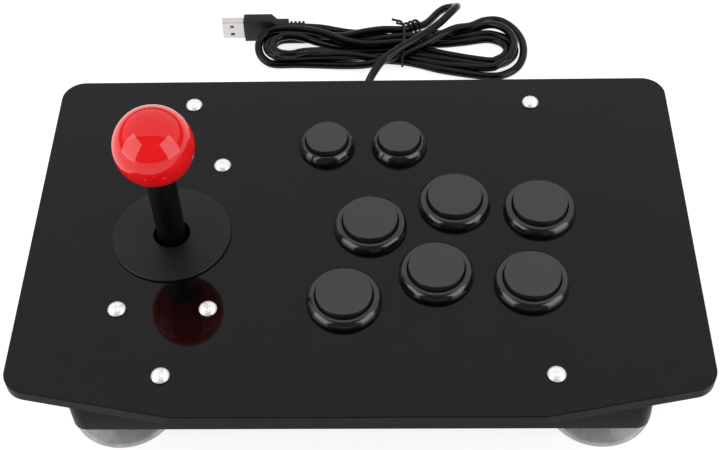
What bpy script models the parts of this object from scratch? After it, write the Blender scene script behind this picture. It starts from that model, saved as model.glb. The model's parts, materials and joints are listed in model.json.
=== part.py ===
"""Arcade joystick panel: one lever and eight push buttons on a flat acrylic panel.

A shallow moulded case with four suction cups stands under the panel and holds the lever's
mechanism, the button switches and the encoder board. A USB lead leaves the back wall and lies
behind the panel in a tied hank.

Frame: the origin is on the table under the middle of the panel, +X to the player's right,
+Y away from the player, +Z up. Sizes and places are in millimetres; every mesh is scaled to
metres when its object is made.
"""

import math

import bmesh
import bpy
from mathutils import Matrix, Vector
from mathutils.geometry import tessellate_polygon

MM = 0.001

# Driving dimensions
PANEL_WIDTH = 300.0
PANEL_DEPTH = 196.0
PANEL_THICK = 6.0
PANEL_TOP = 50.0
CUP_HEIGHT = 14.0
CASE_WIDTH = 253.4
CASE_DEPTH = 167.8
CASE_WALL = 3.0
GAP = 0.3  # between pieces that rest on each other

# The panel's outline
PANEL_UNDER = PANEL_TOP - PANEL_THICK
FRONT_EDGE_HALF = 77.7  # half of the straight middle of the front edge
FRONT_SLANT = 14.2  # how far the front edge runs back towards the sides
PANEL_CORNER = 11.0
PANEL_KNEE = 30.0

# The case
CASE_Y = 1.7
CASE_BOTTOM = CUP_HEIGHT
CASE_FLOOR = CASE_BOTTOM + CASE_WALL
CASE_TOP = PANEL_UNDER - GAP
CASE_CORNER = 6.5
CASE_EDGE = 0.3  # bevel along the bottom edge
CASE_BACK = CASE_Y + CASE_DEPTH / 2

# Panel screws, in bosses that stand against the front and back walls
SCREW_R = 2.0
SCREW_HOLE_R = SCREW_R + 0.35
SCREW_X = 83.0
SCREW_INSET = 4.5  # from the case's outer face
SCREW_ROWS = (CASE_Y - CASE_DEPTH / 2 + SCREW_INSET, CASE_BACK - SCREW_INSET)
BOSS_R = 4.3
DOME_R = 4.0
DOME_HEIGHT = 2.2

# Suction cups
CUP_R = 24.6
CUP_X = 107.5
CUP_ROWS = (CASE_Y - 60.4, CASE_Y + 60.8)
CUP_HOLE_R = 4.4

# Lever
STICK_X = -85.8
STICK_Y = -1.2
PIVOT_Z = PANEL_TOP - 12.0
BALL_R = 17.5
BALL_Z = PANEL_TOP + 59.6
SHAFT_R = 4.0
SLEEVE_R = 6.5
STICK_BOLTS = (20.0, 42.0)  # half of the 40 x 84 mm pattern
STICK_HOLE_R = 12.0

# Dust washers
WASHER_R = 27.2
WASHER_HOLE_R = 8.3
WASHER_THICK = 1.0

SPRING_SIDES = 5

# Push buttons: plunger radius, panel hole radius, rim radius
LARGE_BUTTON = (12.4, 15.0, 16.75)
SMALL_BUTTON = (9.9, 12.0, 13.4)
PLUNGER_HEIGHT = 7.0  # above the panel
BUTTON_DEPTH = 17.0  # from the panel's top to the button's floor
BUTTON_SIDES = 16
BUTTONS = {
    "upper_left": (LARGE_BUTTON, 4.8, 2.7),
    "upper_middle": (LARGE_BUTTON, 43.5, 16.2),
    "upper_right": (LARGE_BUTTON, 82.4, 11.8),
    "lower_left": (LARGE_BUTTON, -6.4, -39.0),
    "lower_middle": (LARGE_BUTTON, 34.1, -24.7),
    "lower_right": (LARGE_BUTTON, 75.9, -29.8),
    "start": (SMALL_BUTTON, 18.3, 52.9),
    "select": (SMALL_BUTTON, -16.3, 52.9),
}

# Encoder board, between the lever and the buttons
BOARD_SIZE = (24.0, 86.0, 1.6)
BOARD_CENTRE = (-42.0, -18.0)
BOARD_Z = CASE_FLOOR + 2.5

# USB lead
CORD_R = 2.2
EXIT_Z = 27.0
RELIEF_END = CASE_BACK + 11.8
HANK_TOP = 9.3
TIE_X = 22.0
LEAD_ROUTE = [
    (0.0, RELIEF_END + GAP, EXIT_Z),
    (0.0, 102.5, EXIT_Z),
    (0.1, 110.5, 23.9),
    (0.4, 120.0, 17.9),
    (1.2, 130.0, 12.9),
    (4.0, 141.5, 10.9),
    (9.6, 151.8, 11.8),
    (17.8, 159.6, 12.7),
    (27.3, 167.2, 12.8),
    (36.0, 175.2, 12.6),
    (42.8, 182.2, 12.8),
    (48.0, 188.8, 13.2),
    (51.4, 194.8, 11.8),
    (52.6, 200.4, 8.2),
    (50.4, 204.4, 4.2),
    (45.8, 205.2, 2.4),
    (41.6, 201.6, 2.3),
    (37.8, 196.2, 2.3),
    (34.2, 191.4, 2.9),
]
TAIL_ROUTE = [
    (-34.0, 184.6, 7.7),
    (-27.0, 184.9, 6.9),
    (-20.0, 185.3, 5.0),
    (-13.0, 185.4, 3.2),
    (-6.0, 185.1, 2.3),
    (1.0, 184.2, 2.3),
]
HANK_OUTLINE = [
    (-62.0, 170.0),
    (-57.5, 163.4),
    (-40.0, 159.0),
    (-14.0, 157.6),
    (4.0, 159.4),
    (22.0, 160.8),
    (44.0, 153.6),
    (62.0, 147.6),
    (78.0, 148.6),
    (89.0, 158.0),
    (91.0, 172.0),
    (88.0, 186.0),
    (78.0, 195.4),
    (66.0, 194.0),
    (52.0, 185.6),
    (40.0, 181.2),
    (22.0, 179.2),
    (0.0, 180.2),
    (-24.0, 181.0),
    (-42.0, 180.4),
    (-56.0, 177.8),
]

# USB plug, standing on its narrow edge with its metal shell towards -X
PLUG_Y = 184.6
PLUG_Z = 7.7
RIBS_END = -34.3
NECK_END = -43.4
MOULDING_END = -68.6
SHELL_END = -81.0
MOULDING_SIZE = (6.8, 15.4)
NECK_SIZE = (5.6, 9.4)
SHELL_SIZE = (4.5, 12.0)

COLOURS = {
    "black_acrylic": ((0.016, 0.016, 0.017), 0.08, 0.0),
    "black_abs": ((0.020, 0.020, 0.021), 0.42, 0.0),
    "button_gloss": ((0.018, 0.018, 0.019), 0.18, 0.0),
    "button_satin": ((0.040, 0.040, 0.042), 0.38, 0.0),
    "switch_plastic": ((0.030, 0.030, 0.034), 0.5, 0.0),
    "bolt_nickel": ((0.78, 0.78, 0.77), 0.12, 1.0),
    "zinc_steel": ((0.50, 0.50, 0.51), 0.35, 1.0),
    "white_pom": ((0.72, 0.71, 0.68), 0.4, 0.0),
    "ball_red": ((0.72, 0.010, 0.012), 0.12, 0.0),
    "grey_pvc": ((0.30, 0.30, 0.31), 0.22, 0.0),
    "board_green": ((0.012, 0.10, 0.035), 0.4, 0.0),
    "cord_pvc": ((0.018, 0.018, 0.019), 0.36, 0.0),
    "usb_steel": ((0.74, 0.73, 0.72), 0.2, 1.0),
}


def material(name):
    """The Principled material of that name, made once."""
    found = bpy.data.materials.get(name)
    if found:
        return found
    colour, roughness, metallic = COLOURS[name]
    made = bpy.data.materials.new(name)
    made.use_nodes = True
    shader = made.node_tree.nodes["Principled BSDF"]
    shader.inputs["Base Color"].default_value = (*colour, 1.0)
    shader.inputs["Roughness"].default_value = roughness
    shader.inputs["Metallic"].default_value = metallic
    return made


def add_object(name, mesh, finish, at=(0, 0, 0), spin=None):
    """Make an object from a bmesh in millimetres whose own zero goes to the place at."""
    if spin is not None:
        bmesh.ops.transform(mesh, matrix=spin, verts=mesh.verts)
    bmesh.ops.scale(mesh, vec=(MM, MM, MM), verts=mesh.verts)
    bmesh.ops.recalc_face_normals(mesh, faces=mesh.faces)
    data = bpy.data.meshes.new(name)
    mesh.to_mesh(data)
    mesh.free()
    data.shade_smooth()
    data.set_sharp_from_angle(angle=math.radians(35))
    obj = bpy.data.objects.new(name, data)
    obj.location = Vector(at) * MM
    bpy.context.collection.objects.link(obj)
    if finish:
        data.materials.append(material(finish))
    return obj


def helper(name, mesh, at=(0, 0, 0), spin=None):
    """An unseen shape that a Boolean modifier reads."""
    obj = add_object(name, mesh, None, at, spin)
    obj.hide_render = True
    obj.display_type = "WIRE"
    return obj


def combine(obj, operation, *tools):
    """Cut the tools out of the object, or join them to it."""
    for tool in tools:
        modifier = obj.modifiers.new(tool.name, "BOOLEAN")
        modifier.operation = operation
        modifier.solver = "EXACT"
        modifier.object = tool


def ring_of(radius, count, x=0.0, y=0.0):
    """Points of a circle, anticlockwise."""
    angles = [2 * math.pi * i / count for i in range(count)]
    return [(x + radius * math.cos(a), y + radius * math.sin(a)) for a in angles]


def rounded(corners, radii, steps=5):
    """A polygon, anticlockwise, with each corner turned to an arc of its own radius."""
    outline = []
    for i, corner in enumerate(corners):
        here = Vector(corner)
        back = (Vector(corners[i - 1]) - here).normalized()
        ahead = (Vector(corners[(i + 1) % len(corners)]) - here).normalized()
        half = back.angle(ahead) / 2
        centre = here + (back + ahead).normalized() * radii[i] / math.sin(half)
        first = here + back * radii[i] / math.tan(half) - centre
        turn = math.pi - 2 * half
        for step in range(steps + 1):
            spoke = Matrix.Rotation(turn * step / steps, 2) @ first
            outline.append(tuple(centre + spoke))
    return outline


def rounded_rectangle(width, depth, radius, steps=5, x=0.0, y=0.0):
    """A rectangle about (x, y) with round corners, anticlockwise."""
    w, d = width / 2, depth / 2
    corners = [(x - w, y - d), (x + w, y - d), (x + w, y + d), (x - w, y + d)]
    return rounded(corners, [radius] * 4, steps)


def prism(outline, low, high, holes=()):
    """A plate between two heights, with holes through it."""
    mesh = bmesh.new()
    loops = [outline, *holes]
    bottom = [[mesh.verts.new((x, y, low)) for x, y in loop] for loop in loops]
    top = [[mesh.verts.new((x, y, high)) for x, y in loop] for loop in loops]
    flat = [[Vector((x, y, 0)) for x, y in loop] for loop in loops]
    for level in (bottom, top):
        verts = [v for loop in level for v in loop]
        for triangle in tessellate_polygon(flat):
            mesh.faces.new([verts[i] for i in triangle])
    for under, over in zip(bottom, top):
        for i in range(len(under)):
            mesh.faces.new((under[i - 1], under[i], over[i], over[i - 1]))
    return mesh


def stack(levels):
    """A closed skin over outlines of equal point count, each at its own height."""
    mesh = bmesh.new()
    rings = [[mesh.verts.new((x, y, z)) for x, y in outline] for outline, z in levels]
    for under, over in zip(rings, rings[1:]):
        for i in range(len(under)):
            mesh.faces.new((under[i - 1], under[i], over[i], over[i - 1]))
    mesh.faces.new(rings[0])
    mesh.faces.new(rings[-1])
    return mesh


def lathe(profile, count):
    """A closed profile of (radius, height) points turned about Z. Radius 0 makes a pole."""
    mesh = bmesh.new()
    rings = []
    for radius, z in profile:
        if radius == 0:
            rings.append([mesh.verts.new((0, 0, z))])
        else:
            rings.append([mesh.verts.new((x, y, z)) for x, y in ring_of(radius, count)])
    for one, two in zip(rings, rings[1:] + rings[:1]):
        if len(one) == len(two) == 1:
            continue
        for i in range(count):
            near = one if len(one) == 1 else [one[i - 1], one[i]]
            far = two if len(two) == 1 else [two[i], two[i - 1]]
            mesh.faces.new([*near, *far])
    return mesh


def block(size, centre=(0, 0, 0)):
    """A box of that size about that centre."""
    mesh = bmesh.new()
    bmesh.ops.create_cube(mesh, size=1.0)
    bmesh.ops.scale(mesh, vec=size, verts=mesh.verts)
    bmesh.ops.translate(mesh, vec=centre, verts=mesh.verts)
    return mesh


def smooth_points(points, spacing, closed=False):
    """Points about that far apart on the smooth curve through the route's points."""
    count = len(points)
    knots = [Vector(p) for p in points]
    spans = count if closed else count - 1
    out = []
    for i in range(spans):
        a = knots[i - 1] if closed or i > 0 else 2 * knots[0] - knots[1]
        b, c = knots[i], knots[(i + 1) % count]
        last = 2 * knots[-1] - knots[-2]
        d = knots[(i + 2) % count] if closed or i + 2 < count else last
        steps = max(1, round((c - b).length / spacing))
        for step in range(steps):
            t = step / steps
            cubic = (3 * b - a - 3 * c + d) * t + (2 * a - 5 * b + 4 * c - d)
            out.append((cubic * t + (c - a)) * t / 2 + b)
    if not closed:
        out.append(knots[-1])
    return out


def tube(name, route, radius, finish):
    """A round tube with filled ends along the smooth curve through the route."""
    curve = bpy.data.curves.new(name, "CURVE")
    curve.dimensions = "3D"
    curve.bevel_depth = radius * MM
    curve.bevel_resolution = 2
    curve.use_fill_caps = True
    points = smooth_points(route, 2.2 * 2 * radius)
    spline = curve.splines.new("POLY")
    spline.points.add(len(points) - 1)
    for slot, point in zip(spline.points, points):
        slot.co = (*(point * MM), 1.0)
    curve.materials.append(material(finish))
    obj = bpy.data.objects.new(name, curve)
    bpy.context.collection.objects.link(obj)
    return obj


def panel_outline():
    """The panel seen from above: its front edge slants back on both sides."""
    w, d = PANEL_WIDTH / 2, PANEL_DEPTH / 2
    shoulder = -d + FRONT_SLANT
    corners = [
        (-FRONT_EDGE_HALF, -d),
        (FRONT_EDGE_HALF, -d),
        (w, shoulder),
        (w, d),
        (-w, d),
        (-w, shoulder),
    ]
    radii = [PANEL_KNEE] * 2 + [PANEL_CORNER] * 4
    return rounded(corners, radii)


def screw_places():
    """The four panel screws by corner."""
    sides = {"left": -SCREW_X, "right": SCREW_X}
    rows = dict(zip(("front", "back"), SCREW_ROWS))
    return {f"{r}_{s}": (x, y) for r, y in rows.items() for s, x in sides.items()}


def stick_screw_places():
    """The four screws of the lever's mounting plate by corner."""
    half_x, half_y = STICK_BOLTS
    sides = {"left": STICK_X - half_x, "right": STICK_X + half_x}
    rows = {"front": STICK_Y - half_y, "back": STICK_Y + half_y}
    return {f"{r}_{s}": (x, y) for r, y in rows.items() for s, x in sides.items()}


def make_panel():
    """The acrylic top panel with all its holes."""
    holes = [ring_of(STICK_HOLE_R, 24, STICK_X, STICK_Y)]
    for x, y in [*screw_places().values(), *stick_screw_places().values()]:
        holes.append(ring_of(SCREW_HOLE_R, 10, x, y))
    for (_, hole_r, _), x, y in BUTTONS.values():
        holes.append(ring_of(hole_r, BUTTON_SIDES, x, y))
    mesh = prism(panel_outline(), PANEL_UNDER, PANEL_TOP, holes)
    add_object("top_panel", mesh, "black_acrylic")


def cup_places():
    """The four suction cups by corner."""
    rows = dict(zip(("front", "back"), CUP_ROWS))
    sides = {"left": -CUP_X, "right": CUP_X}
    return {f"{r}_{s}": (x, y) for r, y in rows.items() for s, x in sides.items()}


def make_case():
    """The moulded tub: rounded bottom edge, screw bosses, board posts and its holes."""

    def outline(inset):
        width, depth = CASE_WIDTH - 2 * inset, CASE_DEPTH - 2 * inset
        return rounded_rectangle(width, depth, CASE_CORNER - inset, 5, 0, CASE_Y)

    mesh = stack(
        [
            (outline(CASE_EDGE), CASE_BOTTOM),
            (outline(0.0), CASE_BOTTOM + CASE_EDGE),
            (outline(0.0), CASE_TOP),
            (outline(CASE_WALL), CASE_TOP),
            (outline(CASE_WALL), CASE_FLOOR),
        ]
    )
    case = add_object("bottom_case", mesh, "black_abs")
    for corner, (x, y) in screw_places().items():
        post = prism(ring_of(BOSS_R, 12, x, y), CASE_FLOOR - 1, CASE_TOP - 0.5)
        combine(case, "UNION", helper("boss_" + corner, post))
    board_x, board_y = BOARD_SIZE[0] / 2 - 3.5, BOARD_SIZE[1] / 2 - 3.5
    for i, (x, y) in enumerate([(-1, -1), (1, -1), (1, 1), (-1, 1)]):
        centre = (BOARD_CENTRE[0] + x * board_x, BOARD_CENTRE[1] + y * board_y)
        post = prism(ring_of(2.2, 8, *centre), CASE_FLOOR - 1, BOARD_Z - GAP)
        combine(case, "UNION", helper(f"board_post_{i}", post))
    for corner, (x, y) in screw_places().items():
        bore = prism(ring_of(SCREW_HOLE_R, 10, x, y), CASE_TOP - 14, CASE_TOP + 1)
        combine(case, "DIFFERENCE", helper("screw_bore_" + corner, bore))
    for corner, (x, y) in cup_places().items():
        bore = prism(ring_of(CUP_HOLE_R, 12, x, y), CASE_BOTTOM - 1, CASE_FLOOR + 1)
        combine(case, "DIFFERENCE", helper("cup_bore_" + corner, bore))
    way_out = prism(ring_of(5.0, 16), -6, 6)
    back = Matrix.Rotation(math.radians(90), 4, "X")
    place = (0, CASE_BACK - CASE_WALL / 2, EXIT_Z)
    combine(case, "DIFFERENCE", helper("lead_bore", way_out, place, back))


def make_screws():
    """Domed machine screws in the panel and through the lever's plate."""

    def screw(length):
        return lathe(
            [
                (0, DOME_HEIGHT),
                (0.45 * DOME_R, 0.93 * DOME_HEIGHT),
                (0.82 * DOME_R, 0.6 * DOME_HEIGHT),
                (DOME_R, 0),
                (SCREW_R, 0),
                (SCREW_R, -length),
                (0, -length),
            ],
            10,
        )

    for corner, (x, y) in screw_places().items():
        place = (x, y, PANEL_TOP + GAP)
        add_object("panel_screw_" + corner, screw(18.0), "bolt_nickel", place)
    for corner, (x, y) in stick_screw_places().items():
        place = (x, y, PANEL_TOP + GAP)
        add_object("stick_screw_" + corner, screw(11.0), "bolt_nickel", place)


def make_cups():
    """Soft suction cups, each held by its knob in the case's floor."""
    under = CUP_HEIGHT - GAP
    profile = [
        (0, CASE_FLOOR + 3.0),
        (4.4, CASE_FLOOR + 2.4),
        (5.6, CASE_FLOOR + GAP),
        (3.9, CASE_FLOOR + GAP),
        (3.9, under),
        (9.0, under),
        (10.2, 10.5),
        (17.0, 6.6),
        (CUP_R - 1.0, 2.4),
        (CUP_R, 1.0),
        (CUP_R, 0),
        (CUP_R - 2.6, 0),
        (CUP_R - 3.6, 0.8),
        (15.0, 4.4),
        (7.0, 7.2),
        (0, 7.8),
    ]
    for corner, (x, y) in cup_places().items():
        add_object("suction_cup_" + corner, lathe(profile, 18), "grey_pvc", (x, y, 0))


def make_button(name, size, x, y):
    """A snap-in push button: its body, its plunger, and the microswitch under its floor."""
    plunger_r, hole_r, rim_r = size
    bore_r = plunger_r + 0.45
    barrel_r = hole_r - 0.4
    floor = -BUTTON_DEPTH
    skirt = floor - 6.0
    body = lathe(
        [
            (rim_r, GAP),
            (rim_r, 1.6),
            (rim_r - 1.0, 3.9),
            (bore_r + 1.1, 4.6),
            (bore_r, 4.3),
            (bore_r, floor),
            (3.0, floor),
            (3.0, floor - 1.5),
            (bore_r, floor - 1.5),
            (bore_r, skirt),
            (barrel_r, skirt),
            (barrel_r, GAP),
        ],
        BUTTON_SIDES,
    )
    add_object("button_body_" + name, body, "button_gloss", (x, y, PANEL_TOP))
    plunger = lathe(
        [
            (0, PLUNGER_HEIGHT),
            (plunger_r - 0.9, PLUNGER_HEIGHT),
            (plunger_r, PLUNGER_HEIGHT - 0.9),
            (plunger_r, -11.0),
            (plunger_r - 1.6, -11.0),
            (plunger_r - 1.6, PLUNGER_HEIGHT - 2.2),
            (2.0, PLUNGER_HEIGHT - 2.2),
            (2.0, floor + 1.2),
            (0, floor + 1.2),
        ],
        BUTTON_SIDES,
    )
    add_object("button_plunger_" + name, plunger, "button_satin", (x, y, PANEL_TOP))
    make_button_switch("button_switch_" + name, x, y, PANEL_TOP + floor - 1.5 - GAP)


def make_button_switch(name, x, y, top):
    """A small microswitch: body, nub above, two terminals below, cut as one outline."""
    nub, shoulder, foot, tip = 0.0, -0.8, -7.0, -10.5
    outline = [
        (-6.4, foot),
        (-4.2, foot),
        (-4.2, tip),
        (-3.4, tip),
        (-3.4, foot),
        (3.4, foot),
        (3.4, tip),
        (4.2, tip),
        (4.2, foot),
        (6.4, foot),
        (6.4, shoulder),
        (1.2, shoulder),
        (1.2, nub),
        (-1.2, nub),
        (-1.2, shoulder),
        (-6.4, shoulder),
    ]
    stand_up = Matrix.Rotation(math.radians(90), 4, "X")
    add_object(name, prism(outline, -2.9, 2.9), "switch_plastic", (x, y, top), stand_up)


def make_lever_mount():
    """The fixed half of the lever: plate, housing, switch board and gate."""
    at = (STICK_X, STICK_Y, 0)
    plate_top = PANEL_UNDER - GAP
    plate_bottom = plate_top - 1.6
    half_x, half_y = STICK_BOLTS
    bolts = [(x, y) for x in (-half_x, half_x) for y in (-half_y, half_y)]
    holes = [ring_of(19.0, 24)] + [ring_of(SCREW_HOLE_R, 10, x, y) for x, y in bolts]
    plate = prism(rounded_rectangle(56, 97, 3, 3), plate_bottom, plate_top, holes)
    add_object("stick_mount_plate", plate, "zinc_steel", at)

    foot = (52.0, 64.0)
    top, roof, bottom = plate_bottom - GAP, plate_bottom - 4.0, 28.2
    housing = add_object(
        "stick_housing",
        stack(
            [
                (rounded_rectangle(*foot, 3, 2), top),
                (rounded_rectangle(*foot, 3, 2), bottom),
                (rounded_rectangle(foot[0] - 5, foot[1] - 5, 1, 2), bottom),
                (rounded_rectangle(foot[0] - 5, foot[1] - 5, 1, 2), roof),
            ]
        ),
        "black_abs",
        at,
    )
    combine(housing, "DIFFERENCE", helper("seat_bore", prism(ring_of(9, 20), roof - 1, top + 1), at))
    seat_r = 7.35
    seat = [(h, math.sqrt(seat_r**2 - h**2)) for h in (-3.0, -1.5, 0.0, 1.5, 2.6)]
    profile = [(r, PIVOT_Z + h) for h, r in seat]
    profile += [(10.5, PIVOT_Z + 2.6), (10.5, PIVOT_Z - 3.0)]
    combine(housing, "UNION", helper("seat_ring", lathe(profile, 20), at))

    board_top, board_bottom = bottom - GAP, bottom - GAP - 1.6
    outline = rounded_rectangle(foot[0], 60, 2, 2)
    board = prism(outline, board_bottom, board_top, [ring_of(12, 20)])
    switches = add_object("stick_switch_board", board, "board_green", at)
    reach = 13.9  # from the lever's axis to the middle of a switch
    for i in range(4):
        turn = Matrix.Rotation(math.pi / 2 * i, 4, "Z")
        body = block((6.4, 12.8, 5.4), (reach, 0, board_bottom - 2.6))
        nub = block((1.6, 2.0, 1.6), (reach - 3.5, 0, board_bottom - 2.8))
        combine(switches, "UNION", helper(f"switch_body_{i}", body, at, turn))
        combine(switches, "UNION", helper(f"switch_nub_{i}", nub, at, turn))
    socket = block((10, 5, 5), (14, 24, board_bottom - 2.4))
    combine(switches, "UNION", helper("lever_socket", socket, at))

    gate_top, gate_floor, gate_bottom = board_bottom - GAP, 20.9, 19.2
    inner = rounded_rectangle(foot[0] - 4, foot[1] - 4, 1, 2)
    gate = add_object(
        "restrictor_gate",
        stack(
            [
                (rounded_rectangle(*foot, 3, 2), gate_bottom),
                (rounded_rectangle(*foot, 3, 2), gate_top),
                (inner, gate_top),
                (inner, gate_floor),
            ]
        ),
        "black_abs",
        at,
    )
    opening = prism(rounded_rectangle(20.4, 20.4, 3, 3), gate_bottom - 1, gate_floor + 1)
    combine(gate, "DIFFERENCE", helper("gate_opening", opening, at))


def make_lever():
    """The moving half of the lever, built about the pivot so that its origin is the joint's."""
    at = (STICK_X, STICK_Y, PIVOT_Z)
    ball_z = BALL_Z - PIVOT_Z
    foot = 18.0 - PIVOT_Z

    def ball_point(angle):
        return (BALL_R * math.cos(angle), ball_z + BALL_R * math.sin(angle))

    neck = math.acos((SLEEVE_R + 0.6) / BALL_R)
    upper = [math.pi / 2 * (1 - i / 5) for i in range(1, 6)]
    lower = [-neck * i / 4 for i in range(1, 5)]
    arc = [(0, ball_z + BALL_R)] + [ball_point(a) for a in upper + lower]
    ball_low = arc[-1][1]
    socket_r, socket_top = SHAFT_R + 0.3, ball_z + 5.0
    ball = arc + [(socket_r, ball_low), (socket_r, socket_top), (0, socket_top)]
    add_object("ball_top", lathe(ball, 24), "ball_red", at)

    shaft = [(0, socket_top - GAP), (SHAFT_R, socket_top - GAP), (SHAFT_R, foot)]
    add_object("stick_shaft", lathe([*shaft, (0, foot)], 14), "zinc_steel", at)

    sleeve_low = 5.2
    inner = SHAFT_R + 0.3
    sleeve = [
        (inner, sleeve_low),
        (SLEEVE_R, sleeve_low),
        (SLEEVE_R, ball_low - GAP),
        (inner, ball_low - GAP),
    ]
    add_object("shaft_sleeve", lathe(sleeve, 18), "black_abs", at)

    bush_r, bush_half, bore = 7.0, 4.2, 5.0
    heights = (-bush_half, -2.1, 0, 2.1, bush_half)
    bush = [(math.sqrt(bush_r**2 - h**2), h) for h in heights]
    bush += [(bore, bush_half), (bore, -bush_half)]
    add_object("pivot_bush", lathe(bush, 18), "white_pom", at)

    clip_high = 19.3 - PIVOT_Z
    clip_low = clip_high - 0.7
    actuator_low = clip_high + GAP
    actuator_high = 27.0 - PIVOT_Z
    actuator = [
        (inner, actuator_low),
        (6.4, actuator_low),
        (7.0, actuator_low + 0.8),
        (7.0, actuator_high),
        (inner, actuator_high),
    ]
    add_object("stick_actuator", lathe(actuator, 18), "white_pom", at)
    clip = [(inner, clip_low), (6.0, clip_low), (6.0, clip_high), (inner, clip_high)]
    add_object("retaining_clip", lathe(clip, 12), "zinc_steel", at)
    make_spring(at, actuator_high + GAP)


def make_spring(at, low):
    """The centring spring: a coil of round wire between the actuator and the pivot bush."""
    wire_r, coil_r, turns, steps = 0.5, 5.6, 3.0, 10
    rise = 3.6
    mesh = bmesh.new()
    rings = []
    count = int(turns * steps)
    for i in range(count + 1):
        angle = 2 * math.pi * i / steps
        spoke = Vector((math.cos(angle), math.sin(angle), 0))
        middle = spoke * coil_r + Vector((0, 0, low + wire_r + 0.05 + rise * i / count))
        section = []
        for j in range(SPRING_SIDES):
            lean = 2 * math.pi * j / SPRING_SIDES
            out = spoke * math.cos(lean) + Vector((0, 0, math.sin(lean)))
            section.append(mesh.verts.new(middle + out * wire_r))
        rings.append(section)
    for one, two in zip(rings, rings[1:]):
        for j in range(SPRING_SIDES):
            mesh.faces.new((one[j - 1], one[j], two[j], two[j - 1]))
    mesh.faces.new(rings[0])
    mesh.faces.new(rings[-1])
    add_object("return_spring", mesh, "zinc_steel", at)


def make_dust_washers():
    """The wide washer on the panel, and the small one in the mounting plate's opening."""
    at = (STICK_X, STICK_Y, PANEL_TOP + GAP)
    edge = 0.3
    wide = [
        (WASHER_HOLE_R, 0),
        (WASHER_R, 0),
        (WASHER_R, WASHER_THICK - edge),
        (WASHER_R - edge, WASHER_THICK),
        (WASHER_HOLE_R, WASHER_THICK),
    ]
    add_object("dust_washer", lathe(wide, 28), "button_satin", at)
    small = [(8.6, 0), (15.5, 0), (15.5, 0.7), (8.6, 0.7)]
    place = (STICK_X, STICK_Y, PANEL_UNDER - GAP - 0.7 - 0.1)
    add_object("inner_dust_washer", lathe(small, 16), "black_abs", place)


def make_encoder_board():
    """The USB encoder board with its chip and its rows of sockets."""
    width, depth, thick = BOARD_SIZE
    at = (*BOARD_CENTRE, BOARD_Z)
    outline = rounded_rectangle(width, depth, 1.5, 2)
    board = add_object("encoder_board", prism(outline, 0, thick), "board_green", at)
    chip = block((8, 12, 2.0), (0, -12, thick + 0.9))
    combine(board, "UNION", helper("encoder_chip", chip, at))
    for side in (-1, 1):
        row = block((4.5, 66, 5.0), (side * 8.6, 0, thick + 2.4))
        combine(board, "UNION", helper(f"encoder_sockets_{side + 1}", row, at))


def make_grommet():
    """The strain relief that the lead leaves the case by, tapered behind the wall."""
    wall_outside, wall_inside = CASE_BACK + GAP, CASE_BACK - CASE_WALL - GAP
    profile = [
        (0, -RELIEF_END),
        (3.3, -RELIEF_END),
        (4.4, -wall_outside - 1.8),
        (6.6, -wall_outside - 1.8),
        (6.6, -wall_outside),
        (4.6, -wall_outside),
        (4.6, -wall_inside),
        (6.4, -wall_inside),
        (6.4, -wall_inside + 1.6),
        (0, -wall_inside + 1.6),
    ]
    lie_down = Matrix.Rotation(math.radians(90), 4, "X")
    add_object("cable_grommet", lathe(profile, 14), "cord_pvc", (0, 0, EXIT_Z), lie_down)


def make_cord():
    """The lead, the hank as one solid of its outer shape, and the short run to the plug."""
    tube("cord_lead", LEAD_ROUTE, CORD_R, "cord_pvc")
    tube("cord_tail", TAIL_ROUTE, CORD_R, "cord_pvc")
    outline = smooth_points([(x, y, 0) for x, y in HANK_OUTLINE], 9.0, closed=True)
    hank = prism([(p.x, p.y) for p in outline], GAP, HANK_TOP)
    add_object("cord_hank", hank, "cord_pvc")


def make_tie():
    """The twist tie over the hank, with its knot at the back."""
    half, thick = 1.2, 0.7
    front, back = 160.0, 180.6
    ring = [
        (front - thick, 0.2),
        (front, 0.2),
        (front, HANK_TOP + GAP),
        (back, HANK_TOP + GAP),
        (back, 0.2),
        (back + thick, 0.2),
        (back + thick, HANK_TOP + GAP + thick),
        (front - thick, HANK_TOP + GAP + thick),
    ]
    across = Matrix(((0, 0, 1, 0), (1, 0, 0, 0), (0, 1, 0, 0), (0, 0, 0, 1)))
    tie = add_object("twist_tie", prism(ring, -half, half), "cord_pvc", (TIE_X, 0, 0), across)
    knot = block((5.0, 4.0, 3.6), (TIE_X - 1.5, back - 1.6, HANK_TOP + GAP + 1.8))
    combine(tie, "UNION", helper("tie_knot", knot))


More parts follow.
